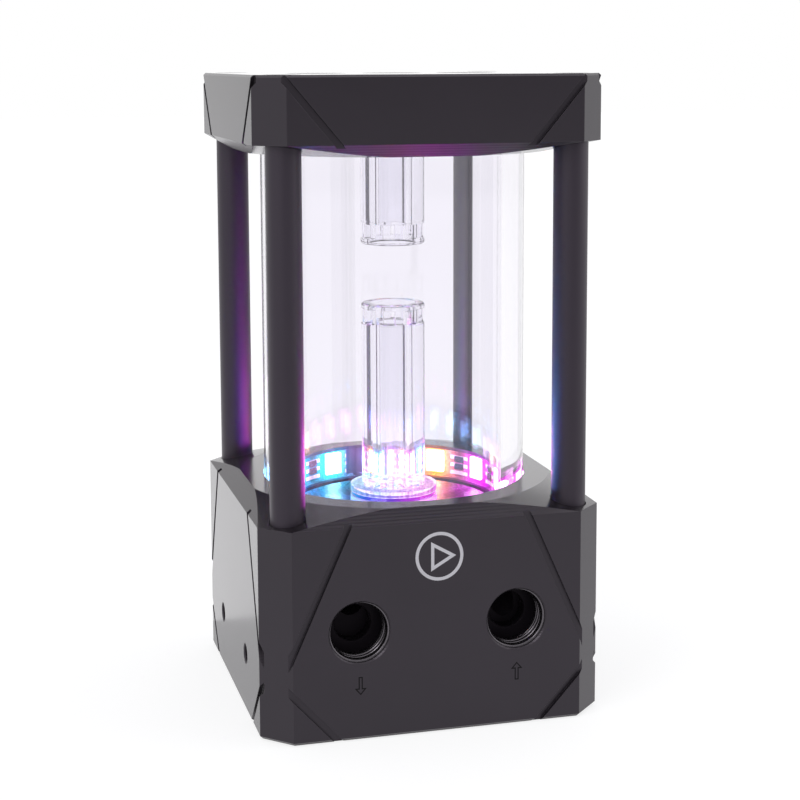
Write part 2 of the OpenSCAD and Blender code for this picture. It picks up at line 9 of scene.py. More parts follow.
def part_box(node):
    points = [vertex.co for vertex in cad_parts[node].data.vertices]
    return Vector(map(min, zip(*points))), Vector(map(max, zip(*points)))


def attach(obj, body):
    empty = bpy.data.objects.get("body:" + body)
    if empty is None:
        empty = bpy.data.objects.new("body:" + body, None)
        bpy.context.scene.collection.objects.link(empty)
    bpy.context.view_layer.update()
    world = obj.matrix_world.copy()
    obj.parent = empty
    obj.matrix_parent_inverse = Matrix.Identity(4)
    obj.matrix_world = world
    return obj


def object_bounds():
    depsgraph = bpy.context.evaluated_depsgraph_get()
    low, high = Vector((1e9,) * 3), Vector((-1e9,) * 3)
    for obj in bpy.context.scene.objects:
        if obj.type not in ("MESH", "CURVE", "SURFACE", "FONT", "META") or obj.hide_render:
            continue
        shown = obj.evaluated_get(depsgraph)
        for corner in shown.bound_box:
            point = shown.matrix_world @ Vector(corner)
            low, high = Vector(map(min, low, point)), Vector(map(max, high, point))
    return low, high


# Looks of a coolant pump and reservoir unit: black machined blocks and posts, a clear tube with
# two clear pipes in it, and a ring of coloured lamps round the foot of the tube.
# Metres, +Z up, the hose ports face -Y.

MM = 0.001

# Camera: a long lens a little to the left of the front and just above the lid
CAMERA_PLACE = Vector((-100.49, -381.02, 143.56)) * MM
CAMERA_HEADING = math.radians(15.02)
CAMERA_TILT = math.radians(-7.14)
CAMERA_ROLL = math.radians(-0.22)
CAMERA_LENS = 77.9
CAMERA_SHIFT = -0.155

# Floor; its glow grows from FLOOR_GLOW to FLOOR_GLOW_FAR between two distances from the object
FLOOR_SIZE = 8.0
FLOOR_DROP = 0.05 * MM
FLOOR_GREY = (0.3, 0.3, 0.305)
FLOOR_GLOW = 0.755
FLOOR_GLOW_FAR = 0.9
FLOOR_NEAR, FLOOR_FAR = 1.0, 3.5

# World light, the grey card, and the lamps as name, place, size and watts
WORLD_TINT = (0.96, 0.97, 1.0)
WORLD_LIGHT = 0.62
CARD_GREY = (0.36, 0.34, 0.37)
CARD_SIZE = (1.8, 0.8)
CARD_PLACE = (0.4, -1.5, 0.45)
SOFTBOXES = [
    ("key", (-1.0, -0.7, 1.05), (0.7, 0.7), 6.5),
    ("fill", (1.2, -0.3, 0.7), (1.1, 1.1), 5.0),
    ("top", (0.0, 0.3, 1.5), (1.2, 1.2), 5.0),
    ("rear", (0.5, 1.3, 0.42), (0.8, 0.5), 0.7),
]
LOW_LAMP = ("low_left", (-0.12, 0.2, 0.003), (0.25, 0.32), 0.14)

# Lamps of the light strip, in turn from the first: colours as they leave the lens
LAMP_FIRST = math.radians(53.1)
LAMP_COLOURS = [
    (1.0, 0.3, 0.03), (0.6, 0.2, 1.0), (0.0, 0.5, 0.75), (0.0, 0.4, 1.0), (0.0, 0.55, 0.85),
    (0.0, 0.3, 1.0), (0.02, 0.1, 1.0), (0.2, 0.05, 1.0), (0.6, 0.05, 1.0), (0.9, 0.08, 0.9),
    (0.9, 0.05, 0.75), (0.85, 0.0, 0.9), (0.85, 0.01, 0.85),
]
LAMP_STRENGTH = 120.0
BODY_STRENGTH = 7.0
HALO_POWER = 0.011

# Radius of the lamps' faces from the middle axis, and where lens and halo light sit from there
LAMP_FACE = 31.15 * MM
LENS_R = 1.85 * MM
LENS_RISE = 0.42 * MM
LENS_SUNK = 0.3 * MM
HALO_GAP = 0.6 * MM

# Light strip: how far each lamp's painted light reaches on it, and the pitch of its printed tracks
STRIP_REACH = 5.2 * MM
TRACK_PITCH = 1.9 * MM

# Pit round the lamps: heights of its floor and edge, how far past floor and strip it still counts,
# how far the painted light of the lamps carries in it, and the strength of that painted light and
# of its painted sparks
PIT_FLOOR = 41.2 * MM
PIT_TOP = 49.0 * MM
PIT_MARGIN_DOWN = 0.3 * MM
PIT_MARGIN_OUT = 0.6 * MM
PIT_REACH = 7 * MM
PIT_LIGHT = 1.1
SPARK_LIGHT = 250.0

# Foot of the clear pipes: heights between which the painted light of the lamps in it fades, and how
# pale that painted light is
FOOT_LIT = 44 * MM
FOOT_DARK = 66 * MM
FOOT_PALE = 0.6

# Machined plastic: a face's upright share from which it is sloping or level, pitch and height of
# the tool lines, pitch and heights (outside and in the pit) of the turning rings, edges, gloss, and
# the gloss tint of the painted shade deep in the front ports
SLOPE_FROM, LEVEL_FROM = 0.3, 0.9
LINE_PITCH, LINE_HEIGHT = 0.55 * MM, 1.6
RING_PITCH, RING_HEIGHTS = 0.3 * MM, (0.15, 1.2)
EDGE_SOFTENING = 0.18 * MM
BLACK_SHEEN = (0.96, 0.87, 1.0, 1)
PORT_PAINTED_SHADE = (0.08, 0.07, 0.08, 1)
BLACK_IOR = 1.5
CLEAR_IOR = 1.49

# Hose ports: wall, pitch and height of the thread's ridge, depth of its end and of the cone at
# its mouth, and the narrow neck past it in a front port
PORT_R = 6.58 * MM
PORT_PITCH = 1.337 * MM
PORT_RIDGE = 0.62 * MM
THREAD_END = 6.7 * MM
LEAD_IN = 1.5 * MM
LEAD_IN_BACK = 0.1 * MM
NECK_R = 4.0 * MM
NECK_LIP = 0.2 * MM

# Painted shade deep in the front ports: it starts this far before the bore's end, and reaches this
# far inwards from there and round the bore's axis
DARK_START = 4 * MM
DARK_REACH = 7 * MM

# Bracket holes in the left face
BRACKET_R = 2.1 * MM
BRACKET_PITCH = 0.7 * MM
BRACKET_RIDGE = 0.3 * MM
BRACKET_END = 6.6 * MM

# Thread ridge: how far its root is in the wall, and the steps over which its inner end fades
ROOT_SUNK = 0.01 * MM
FADE_STEPS = 20

# Marks on the front face: pump sign's middle in X and Z and its radii, arrows' height and line
SIGN_PLACE = (0.0, 38.8 * MM)
SIGN_RING = (5.3 * MM, 4.6 * MM)
SIGN_TRIANGLE = (3.7 * MM, 2.3 * MM)
PAINT_DEPTH = 0.03 * MM
ARROW_Z = 11.9 * MM
ARROW_LINE = 0.24 * MM
ENGRAVING_DEPTH = 0.01 * MM

# Steps round a circle, and rings of a dome
ROUND_STEPS = 72
THREAD_STEPS = 48
DOME_STEPS = 28
DOME_RINGS = 5

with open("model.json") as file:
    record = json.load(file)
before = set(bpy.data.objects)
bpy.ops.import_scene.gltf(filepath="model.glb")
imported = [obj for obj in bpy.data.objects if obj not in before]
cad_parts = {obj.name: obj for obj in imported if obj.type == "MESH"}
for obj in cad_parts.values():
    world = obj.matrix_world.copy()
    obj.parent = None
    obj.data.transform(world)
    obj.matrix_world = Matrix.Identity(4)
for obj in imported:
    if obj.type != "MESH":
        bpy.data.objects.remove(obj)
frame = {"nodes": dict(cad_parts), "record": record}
cad_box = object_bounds()
mounts = {m["name"]: m for m in frame["record"]["mounts"]}


# ---- node trees ----

def add(tree, kind, inputs=None, **settings):
    """A new node with its settings, and its inputs set to values or joined to sockets."""
    made = tree.nodes.new(kind)
    for key, value in settings.items():
        setattr(made, key, value)
    for key, value in (inputs or {}).items():
        if isinstance(value, bpy.types.NodeSocket):
            tree.links.new(value, made.inputs[key])
        else:
            made.inputs[key].default_value = value
    return made


def calc(tree, operation, *values):
    """Output of a Math node."""
    return add(tree, "ShaderNodeMath", dict(enumerate(values)), operation=operation).outputs[0]


def product(tree, first, *others):
    """All the values multiplied together, from left to right."""
    for value in others:
        first = calc(tree, "MULTIPLY", first, value)
    return first


def within(tree, value, low, high):
    """1 where value lies between low and high, 0 elsewhere."""
    return product(tree, calc(tree, "GREATER_THAN", value, low),
                   calc(tree, "LESS_THAN", value, high))


def squares(tree, first, second):
    """Sum of the squares of two values."""
    return calc(tree, "ADD", product(tree, first, first), product(tree, second, second))


def waves(tree, along, pitch):
    """Waves of that pitch, from -1 to 1."""
    return calc(tree, "SINE", calc(tree, "MULTIPLY", along, math.tau / pitch))


def carry(tree, value, from_low, from_high, low, high):
    """value carried from one range to another, held at both ends."""
    inputs = {0: value, 1: from_low, 2: from_high, 3: low, 4: high}
    return add(tree, "ShaderNodeMapRange", inputs).outputs[0]


def ramp_between(tree, factor, low, high):
    """factor from 0 to 1 carried to low to high, held at both ends."""
    return carry(tree, factor, 0.0, 1.0, low, high)


def blend(tree, factor, first, second):
    """Colour between two colours or sockets."""
    inputs = {0: factor, 6: first, 7: second}
    return add(tree, "ShaderNodeMix", inputs, data_type="RGBA").outputs[2]


def place(tree):
    """Object coordinates, in metres in the part's frame."""
    return add(tree, "ShaderNodeTexCoord").outputs["Object"]


def parts_of(tree, vector):
    """X, Y and Z of a vector."""
    return add(tree, "ShaderNodeSeparateXYZ", {0: vector}).outputs


def noise(tree, grain, detail=3.0, stretch=(1, 1, 1)):
    """Noise whose grains are about that many metres across, from 0 to 1."""
    spread = add(tree, "ShaderNodeMapping", {0: place(tree), 3: stretch}).outputs[0]
    inputs = {"Vector": spread, "Scale": 1 / grain, "Detail": detail}
    return add(tree, "ShaderNodeTexNoise", inputs).outputs[0]


def bump(tree, height, depth, normal=None):
    """Normal of a surface with that height, 0 to 1, at a depth in metres."""
    inputs = {"Height": height, "Distance": depth, "Strength": 1.0}
    if normal is not None:
        inputs["Normal"] = normal
    return add(tree, "ShaderNodeBump", inputs).outputs[0]


def new_material(name):
    """An empty material and its tree."""
    made = bpy.data.materials.new(name)
    made.use_nodes = True
    made.node_tree.nodes.clear()
    return made, made.node_tree


def show(tree, shader):
    """Joins a shader to a new output node."""
    add(tree, "ShaderNodeOutputMaterial", {0: shader.outputs[0]})


def principled(tree, **inputs):
    """A Principled shader; underscores in the names of its inputs stand for spaces."""
    named = {key.replace("_", " "): value for key, value in inputs.items()}
    return add(tree, "ShaderNodeBsdfPrincipled", named)


def rgba(colour, factor=1.0):
    """The colour made darker or lighter, with its alpha."""
    return (*(c * factor for c in colour), 1.0)


def frame_radius(node):
    """Outer radius of a round node about the middle axis."""
    low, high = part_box(node)
    return (high.x - low.x) / 2


# ---- painted light of the lamps on what is near them, and painted shade in the front ports ----

def lamp_hue(tree):
    """Colour of the nearest lamps at this turn round the strip, the turn itself, and the place."""
    spot = parts_of(tree, place(tree))
    turn = calc(tree, "ARCTAN2", spot[1], spot[0])
    share = calc(tree, "FRACT", calc(tree, "ADD", calc(tree, "DIVIDE", turn, math.tau), 1.0))
    hues = add(tree, "ShaderNodeValToRGB", {0: share})
    hues.color_ramp.interpolation = "EASE"
    stops = hues.color_ramp.elements
    first, pitch = LAMP_FIRST / math.tau, 1 / len(LAMP_COLOURS)
    ordered = sorted(((first + i * pitch) % 1.0, c) for i, c in enumerate(LAMP_COLOURS))
    stops[0].position, stops[0].color = 0.0, rgba(ordered[-1][1])
    stops[1].position, stops[1].color = 1.0, rgba(ordered[-1][1])
    for position, colour in ordered:
        stops.new(position).color = rgba(colour)
    return hues.outputs[0], turn, spot


def lamp_glow(tree, turn, rise, reach):
    """1 at the nearest lamp, falling off over the reach along the strip and up and down it."""
    count = len(LAMP_COLOURS)
    steps = calc(tree, "MULTIPLY", calc(tree, "SUBTRACT", turn, LAMP_FIRST), count / math.tau)
    nearest = calc(tree, "FRACT", calc(tree, "ADD", steps, count + 0.5))
    low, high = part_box("led_packages")
    pitch = math.tau / count * (high.x - low.x) / 2
    beside = calc(tree, "MULTIPLY", calc(tree, "SUBTRACT", nearest, 0.5), pitch / reach)
    above = calc(tree, "DIVIDE", calc(tree, "SUBTRACT", rise, (low.z + high.z) / 2), reach)
    return calc(tree, "EXPONENT", calc(tree, "MULTIPLY", squares(tree, beside, above), -1.0))


def in_pit(tree, rise, away):
    """1 on the floor and wall of the pit that the lamps stand round, 0 elsewhere."""
    inside = calc(tree, "LESS_THAN", away, frame_radius("led_strip") + PIT_MARGIN_OUT)
    return product(tree, inside, within(tree, rise, PIT_FLOOR - PIT_MARGIN_DOWN, PIT_TOP))


def pit_light(tree, turn, rise, away, grain):
    """Painted light of the lamps in the pit, with painted sparks where the tool marks catch it."""
    beam = lamp_glow(tree, turn, rise, PIT_REACH)
    outward = calc(tree, "SUBTRACT", away, frame_radius("led_strip"))
    fall = calc(tree, "EXPONENT", calc(tree, "DIVIDE", outward, PIT_REACH))
    sparks = calc(tree, "MULTIPLY", calc(tree, "POWER", grain, 8.0), SPARK_LIGHT)
    return product(tree, beam, fall, calc(tree, "ADD", sparks, PIT_LIGHT))


def deep_in_port(tree, spot):
    """1 from about the neck of a front port inwards, where the painted shade goes, 0 elsewhere."""
    port = mounts["port_in"]
    middle_x, middle_y, middle_z = port["pos_m"]
    start = middle_y + port["dims"]["length_mm"] * MM / 2 - DARK_START
    beyond = within(tree, spot[1], start, start + DARK_REACH)
    side = calc(tree, "SUBTRACT", calc(tree, "ABSOLUTE", spot[0]), abs(middle_x))
    up = calc(tree, "SUBTRACT", spot[2], middle_z)
    near = calc(tree, "LESS_THAN", squares(tree, side, up), DARK_REACH * DARK_REACH)
    return product(tree, beyond, near)


# ---- finishes ----

def plain_finish(name, colour, shade, rough, grain=0.6 * MM, depth=0.01 * MM,
                 stretch=(1, 1, 1), **inputs):
    """A moulded, ground or drawn surface.

    Its colour drifts to the shade, and its roughness and height follow the grain.
    """
    made, tree = new_material(name)
    drift = noise(tree, 9 * MM)
    fine = noise(tree, grain, 5.0, stretch)
    show(tree, principled(
        tree,
        Base_Color=blend(tree, drift, rgba(colour), rgba(shade)),
        Roughness=ramp_between(tree, fine, rough * 0.8, min(1.0, rough * 1.2)),
        Normal=bump(tree, fine, depth),
        **inputs,
    ))
    return made


def machined_finish(name, colour, rough):
    """Black machined plastic: tool lines on slopes, turning marks on level faces, softened edges.

    It is satin seen square on and smoother at a low angle, has painted light of the lamps in the
    pit round the foot of the riser pipe, and painted shade takes nearly all its gloss deep in the
    front ports.
    """
    made, tree = new_material(name)
    hue, turn, spot = lamp_hue(tree)
    facing = parts_of(tree, add(tree, "ShaderNodeNewGeometry").outputs["Normal"])
    rise = calc(tree, "ABSOLUTE", facing[2])
    sloping = within(tree, rise, SLOPE_FROM, LEVEL_FROM)
    level = calc(tree, "GREATER_THAN", rise, LEVEL_FROM)
    away = calc(tree, "SQRT", squares(tree, spot[0], spot[1]))
    pit = in_pit(tree, spot[2], away)

    lines = product(tree, waves(tree, spot[2], LINE_PITCH), sloping, LINE_HEIGHT)
    rings = product(tree, waves(tree, away, RING_PITCH), level,
                    ramp_between(tree, pit, *RING_HEIGHTS))
    fine = noise(tree, 0.35 * MM, 4.0)
    tooling = calc(tree, "ADD", lines, rings)
    height = calc(tree, "MULTIPLY", calc(tree, "ADD", tooling, fine), 0.5)
    soft_edge = add(tree, "ShaderNodeBevel", {"Radius": EDGE_SOFTENING}, samples=4).outputs[0]

    low_angle = add(tree, "ShaderNodeLayerWeight", {0: 0.5}).outputs["Facing"]
    smoothing = carry(tree, low_angle, 0.5, 1.0, 1.0, 0.65)
    satin = ramp_between(tree, fine, rough - 0.03, rough + 0.05)
    level_outside = product(tree, level, calc(tree, "SUBTRACT", 1.0, pit))
    polish = ramp_between(tree, level_outside, 1.0, 0.6)
    # painted light of the lamps on the plastic in the pit, with painted sparks on a fine grain of
    # the level faces
    lamps = pit_light(tree, turn, spot[2], away, product(tree, fine, level))
    show(tree, principled(
        tree,
        Base_Color=blend(tree, noise(tree, 14 * MM), rgba(colour), rgba(colour, 1.5)),
        Roughness=product(tree, satin, smoothing, polish),
        IOR=BLACK_IOR,
        Specular_IOR_Level=ramp_between(tree, pit, 0.5, 0.15),
        # painted shade: the gloss turns nearly black deep in the front ports
        Specular_Tint=blend(tree, deep_in_port(tree, spot), BLACK_SHEEN, PORT_PAINTED_SHADE),
        Normal=bump(tree, height, 0.012 * MM, soft_edge),
        # emission here is the painted light of the lamps, only in the pit
        Emission_Color=hue,
        Emission_Strength=product(tree, pit, lamps),
    ))
    return made


def clear_finish(name, tint, frost=0.0, lit=0.0):
    """Clear glass or acrylic that lets lamps shine straight through for shadows and soft light.

    Where lit is above 0, its foot glows with painted light of the lamps, in fine upright streaks
    that fade upwards.
    """
    made, tree = new_material(name)
    cloud = noise(tree, 12 * MM)
    paler = tuple(min(1.0, c + 0.008) for c in tint)
    glow = {}
    if lit > 0:
        hue, _, spot = lamp_hue(tree)
        # painted light of the lamps in the foot of the pipes, as upright streaks fading upwards
        streaks = calc(tree, "POWER", noise(tree, 0.9 * MM, 3.0, (1, 1, 0.04)), 3.0)
        fade = calc(tree, "POWER", carry(tree, spot[2], FOOT_LIT, FOOT_DARK, 1.0, 0.0), 2.0)
        glow = {
            "Emission_Color": blend(tree, FOOT_PALE, hue, (1, 1, 1, 1)),
            "Emission_Strength": product(tree, fade, streaks, 8 * lit),
        }
    glass = principled(
        tree,
        Base_Color=blend(tree, cloud, rgba(tint), rgba(paler)),
        Roughness=ramp_between(tree, cloud, frost, frost + 0.012),
        IOR=CLEAR_IOR,
        Transmission_Weight=1.0,
        **glow,
    )
    open_way = add(tree, "ShaderNodeBsdfTransparent", {0: rgba(tint)})
    path = add(tree, "ShaderNodeLightPath").outputs
    past = calc(tree, "MAXIMUM", path["Is Shadow Ray"], path["Is Diffuse Ray"])
    ways = {0: past, 1: glass.outputs[0], 2: open_way.outputs[0]}
    show(tree, add(tree, "ShaderNodeMixShader", ways))
    return made


def strip_finish():
    """Flexible light strip: printed tracks under a clear, uneven coat, with painted light round
    each lamp.
    """
    made, tree = new_material("strip_board")
    hue, turn, spot = lamp_hue(tree)
    from_first = calc(tree, "SUBTRACT", turn, LAMP_FIRST)
    swing = calc(tree, "COSINE", calc(tree, "MULTIPLY", from_first, float(len(LAMP_COLOURS))))
    between_lamps = calc(tree, "LESS_THAN", swing, -0.3)
    rows = calc(tree, "GREATER_THAN", waves(tree, spot[2], TRACK_PITCH), 0.1)
    track = product(tree, rows, between_lamps)
    ripple = noise(tree, 0.5 * MM, 4.0)
    # painted light of each lamp on the coat round it, rippled
    coat_light = product(tree, lamp_glow(tree, turn, spot[2], STRIP_REACH),
                         ramp_between(tree, ripple, 1.3, 10.0))
    # painted highlight along the printed tracks between the lamps
    track_light = product(tree, track, ramp_between(tree, ripple, 0.0, 0.9))
    pale = calc(tree, "MULTIPLY", track, 0.85)
    show(tree, principled(
        tree,
        Base_Color=blend(tree, track, (0.008, 0.006, 0.011, 1), (0.07, 0.045, 0.085, 1)),
        Roughness=ramp_between(tree, ripple, 0.15, 0.4),
        Specular_IOR_Level=0.12,
        Normal=bump(tree, ripple, 0.05 * MM),
        Emission_Color=blend(tree, pale, hue, (1.0, 0.75, 1.0, 1)),
        Emission_Strength=calc(tree, "ADD", coat_light, track_light),
    ))
    return made


def lamp_body_finish():
    """White lamp bodies, glowing through from the lamp inside."""
    made, tree = new_material("lamp_white")
    hue = lamp_hue(tree)[0]
    fine = noise(tree, 0.4 * MM)
    show(tree, principled(
        tree,
        Base_Color=blend(tree, fine, (0.86, 0.86, 0.84, 1), (0.78, 0.78, 0.77, 1)),
        Roughness=ramp_between(tree, fine, 0.3, 0.5),
        Emission_Color=blend(tree, 0.35, hue, (1, 1, 1, 1)),
        Emission_Strength=BODY_STRENGTH,
    ))
    return made


def lamp_lens_finish(name, colour):
    """Gel dome of one lamp, its light a little paler than the lamp's colour."""
    made, tree = new_material(name)
    fine = noise(tree, 0.5 * MM)
    paled = tuple(0.15 + 0.85 * c for c in colour)
    show(tree, principled(
        tree,
        Base_Color=blend(tree, fine, (0.9, 0.85, 0.6, 1), (0.95, 0.9, 0.7, 1)),
        Roughness=0.2,
        Emission_Color=rgba(paled),
        Emission_Strength=LAMP_STRENGTH,
    ))
    return made


def lit_solid_finish(name, colour, strength, pale, rough):
    """Acrylic or rubber, drawn opaque, glowing with painted light of the lamps round it in their
    own colours.
    """
    made, tree = new_material(name)
    hue = lamp_hue(tree)[0]
    cloud = noise(tree, 2.5 * MM, 2.0)
    show(tree, principled(
        tree,
        Base_Color=blend(tree, cloud, rgba(colour), rgba(colour, 0.85)),
        Roughness=ramp_between(tree, cloud, rough, rough + 0.1),
        Emission_Color=blend(tree, pale, hue, (1.0, 0.86, 0.97, 1)),
        Emission_Strength=ramp_between(tree, cloud, strength * 0.7, strength * 1.2),
    ))
    return made


def board_finish():
    """Green circuit board with fine tracks."""
    made, tree = new_material("circuit_board")
    spot = parts_of(tree, place(tree))
    stripes = calc(tree, "GREATER_THAN", waves(tree, spot[0], 1.1 * MM), 0.3)
    patches = calc(tree, "GREATER_THAN", noise(tree, 3 * MM, 1.0), 0.52)
    track = product(tree, stripes, patches)
    show(tree, principled(
        tree,
        Base_Color=blend(tree, track, (0.01, 0.09, 0.035, 1), (0.03, 0.17, 0.07, 1)),
        Roughness=ramp_between(tree, track, 0.35, 0.25),
        Normal=bump(tree, track, 0.03 * MM),
    ))
    return made


# Plain finishes: colour, the shade it drifts to, roughness, and what else each one needs
PLAIN = {
    "black_post": ((0.015, 0.011, 0.017), (0.02, 0.015, 0.023), 0.45, {
        "stretch": (1, 1, 0.05), "depth": 0.004 * MM, "Specular_Tint": (0.96, 0.86, 1.0, 1)}),
    "black_steel": ((0.02, 0.02, 0.022), (0.03, 0.03, 0.032), 0.35, {"Metallic": 0.6}),
    "seal_rubber": ((0.05, 0.05, 0.055), (0.08, 0.08, 0.085), 0.55, {}),
    "chip_black": ((0.02, 0.02, 0.02), (0.035, 0.035, 0.035), 0.5, {}),
    "motor_plastic": ((0.03, 0.03, 0.033), (0.045, 0.045, 0.05), 0.5, {}),
    "core_steel": ((0.35, 0.35, 0.36), (0.25, 0.25, 0.26), 0.4, {
        "stretch": (0.1, 0.1, 3), "Metallic": 1.0}),
    "copper_wire": ((0.75, 0.36, 0.18), (0.6, 0.26, 0.12), 0.3, {
        "stretch": (0.1, 0.1, 4), "depth": 0.06 * MM, "Metallic": 1.0}),
    "stainless": ((0.62, 0.62, 0.64), (0.5, 0.5, 0.52), 0.28, {
        "stretch": (0.1, 0.1, 3), "depth": 0.004 * MM, "Metallic": 1.0}),
    "bearing_ceramic": ((0.86, 0.84, 0.8), (0.8, 0.78, 0.74), 0.15, {}),
    "bearing_carbon": ((0.04, 0.04, 0.045), (0.07, 0.07, 0.075), 0.4, {}),
    "magnet_ferrite": ((0.05, 0.05, 0.055), (0.08, 0.078, 0.08), 0.5, {"depth": 0.03 * MM}),
    "impeller_plastic": ((0.7, 0.69, 0.64), (0.62, 0.61, 0.56), 0.4, {}),
    "dial_red": ((0.5, 0.03, 0.02), (0.4, 0.02, 0.015), 0.4, {}),
    "ring_aluminium": ((0.12, 0.12, 0.13), (0.09, 0.09, 0.1), 0.35, {"Metallic": 1.0}),
}


def finishes():
    """One material for each slot of the record."""
    made = {
        "black_acetal": machined_finish("black_acetal", (0.011, 0.009, 0.0115), 0.33),
        "clear_glass": clear_finish("clear_glass", (0.93, 0.915, 0.955)),
        "clear_acrylic": clear_finish("clear_acrylic", (0.955, 0.95, 0.985), frost=0.02, lit=0.3),
        "strip_board": strip_finish(),
        "lamp_white": lamp_body_finish(),
        "circuit_board": board_finish(),
    }
    for name, (colour, shade, rough, more) in PLAIN.items():
        made[name] = plain_finish(name, colour, shade, rough, **more)
    return made


def dress_nodes(materials):
    """Gives every CAD node the material of its slot, and the two pieces at the lamps one with
    painted glow.
    """
    lit = {
        # painted glow of the lamps on the riser's seat and seal
        "riser_seat": lit_solid_finish("lit_acrylic", (0.36, 0.31, 0.38), 0.3, 0.8, 0.18),
        "riser_seal": lit_solid_finish("lit_seal", (0.006, 0.005, 0.008), 0.5, 0.0, 0.5),
    }
    for part in frame["record"]["subparts"]:
        slots = frame["nodes"][part["node"]].data.materials
        slots.clear()
        slots.append(lit.get(part["node"]) or materials[part["material_slot"]])


# ---- pieces; a shape is its points in metres and its faces ----

def mesh_piece(name, shape, material, smooth=True):
    """A piece of that shape, riding on the reservoir."""
    verts, faces = shape
    mesh = bpy.data.meshes.new(name)
    mesh.from_pydata(verts, [], faces)
    mesh.materials.append(material)
    work = bmesh.new()
    work.from_mesh(mesh)
    bmesh.ops.recalc_face_normals(work, faces=work.faces)
    work.to_mesh(mesh)
    work.free()
    for face in mesh.polygons:
        face.use_smooth = smooth
    piece = bpy.data.objects.new(name, mesh)
    bpy.context.scene.collection.objects.link(piece)
    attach(piece, "reservoir")


def join(*shapes):
    """Several shapes as one."""
    verts, faces = [], []
    for more_verts, more_faces in shapes:
        base = len(verts)
        verts += more_verts
        faces += [tuple(base + k for k in face) for face in more_faces]
    return verts, faces


def spoke(axis, share):
    """Direction square to an axis, turned about it by a share of a whole turn."""
    side = axis.orthogonal().normalized()
    up = axis.cross(side).normalized()
    return side * math.cos(math.tau * share) + up * math.sin(math.tau * share)


def thread(mouth, inward, radius, pitch, ridge, end):
    """A thread ridge wound round the wall of a hole, from its mouth inwards."""
    start = pitch * 0.5
    turns = (end - start - pitch) / pitch
    # Section of the ridge: change of radius, and place along the hole in pitches
    profile = [(0.0, -0.46), (-ridge, -0.1), (-ridge, 0.1), (0.0, 0.46)]
    verts, faces = [], []
    count = int(turns * THREAD_STEPS)
    for i in range(count + 1):
        wound = i / THREAD_STEPS
        out = spoke(inward, wound)
        grown = min(1.0, wound, (count - i) / FADE_STEPS)
        for step_in, along in profile:
            reach = radius + ROOT_SUNK + step_in * grown
            verts.append(mouth + out * reach + inward * (start + pitch * (wound + along)))
    for i in range(count):
        a, b = 4 * i, 4 * (i + 1)
        faces += [(a + k, a + k + 1, b + k + 1, b + k) for k in range(3)]
        faces.append((a + 3, a, b, b + 3))
    last = 4 * count
    faces += [(0, 3, 2, 1), (last, last + 1, last + 2, last + 3)]
    return verts, faces


def turned(mouth, inward, profile):
    """A closed profile of radii and depths turned about a hole's axis."""
    count = len(profile)
    verts, faces = [], []
    for i in range(ROUND_STEPS):
        out = spoke(inward, i / ROUND_STEPS)
        verts += [mouth + out * radius + inward * along for radius, along in profile]
        here, ahead = i * count, (i + 1) % ROUND_STEPS * count
        for k in range(count):
            nearby = (k + 1) % count
            faces.append((here + k, here + nearby, ahead + nearby, ahead + k))
    return verts, faces


def add_port(name, cut, black):
    """Lead-in cone and thread of a hose port, and the narrow neck of a front one."""
    depth = mounts[name]["dims"]["length_mm"] * MM
    inward = -Vector(mounts[name]["axis"])
    mouth = Vector(mounts[name]["pos_m"]) - inward * depth / 2
    cone = [(PORT_R, 0.0), (PORT_R - PORT_RIDGE, LEAD_IN), (PORT_R, LEAD_IN + LEAD_IN_BACK)]
    ridge = thread(mouth, inward, PORT_R, PORT_PITCH, PORT_RIDGE, THREAD_END)
    mesh_piece(f"{name}_thread", join(turned(mouth, inward, cone), ridge), cut)
    if name.startswith("port"):
        neck = [
            (PORT_R, THREAD_END), (NECK_R + NECK_LIP, THREAD_END), (NECK_R, THREAD_END + NECK_LIP),
            (NECK_R, depth), (PORT_R, depth),
        ]
        mesh_piece(f"{name}_neck", turned(mouth, inward, neck), black,
                   smooth=False)


def add_threads(black):
    """Threads of the five hose ports and of the two bracket holes in the left face."""
    # the threads are of the block's black plastic; their grey metal gloss is a painted sheen for
    # brighter highlights on the thread walls
    cut = plain_finish("thread_painted_sheen", (0.14, 0.13, 0.145), (0.1, 0.09, 0.1), 0.26, Metallic=0.9)
    for name in ("port_out", "port_in", "lid_port_left", "lid_port_centre", "lid_port_right"):
        add_port(name, cut, black)
    holes = mounts["bracket_holes"]
    half_way = holes["dims"]["spacing_x_mm"] / 2 * MM
    for end, side in (("front", -1), ("back", 1)):
        mouth = Vector(holes["pos_m"]) + Vector((0, side * half_way, 0))
        ridge = thread(mouth, Vector((1, 0, 0)), BRACKET_R, BRACKET_PITCH, BRACKET_RIDGE,
                       BRACKET_END)
        mesh_piece(f"bracket_thread_{end}", ridge, black)


def plate(outline, hole, front_y, thickness):
    """A flat figure on the front face; outline and hole run side by side in X and Z."""
    count = len(outline)
    top = 2 * count
    verts, faces = [], []
    for y in (front_y, front_y - thickness):
        verts += [Vector((x, y, z)) for x, z in (*outline, *hole)]
    for i in range(count):
        j = (i + 1) % count
        inner_i, inner_j = i + count, j + count
        faces.append((i, j, inner_j, inner_i))
        faces.append((top + i, top + inner_i, top + inner_j, top + j))
        faces.append((i, top + i, top + j, j))
        faces.append((inner_i, inner_j, top + inner_j, top + inner_i))
    return verts, faces


def circle(radius, centre, count):
    """Points round a circle, in X and Z."""
    turns = [math.tau * i / count for i in range(count)]
    return [(centre[0] + radius * math.cos(t), centre[1] + radius * math.sin(t)) for t in turns]


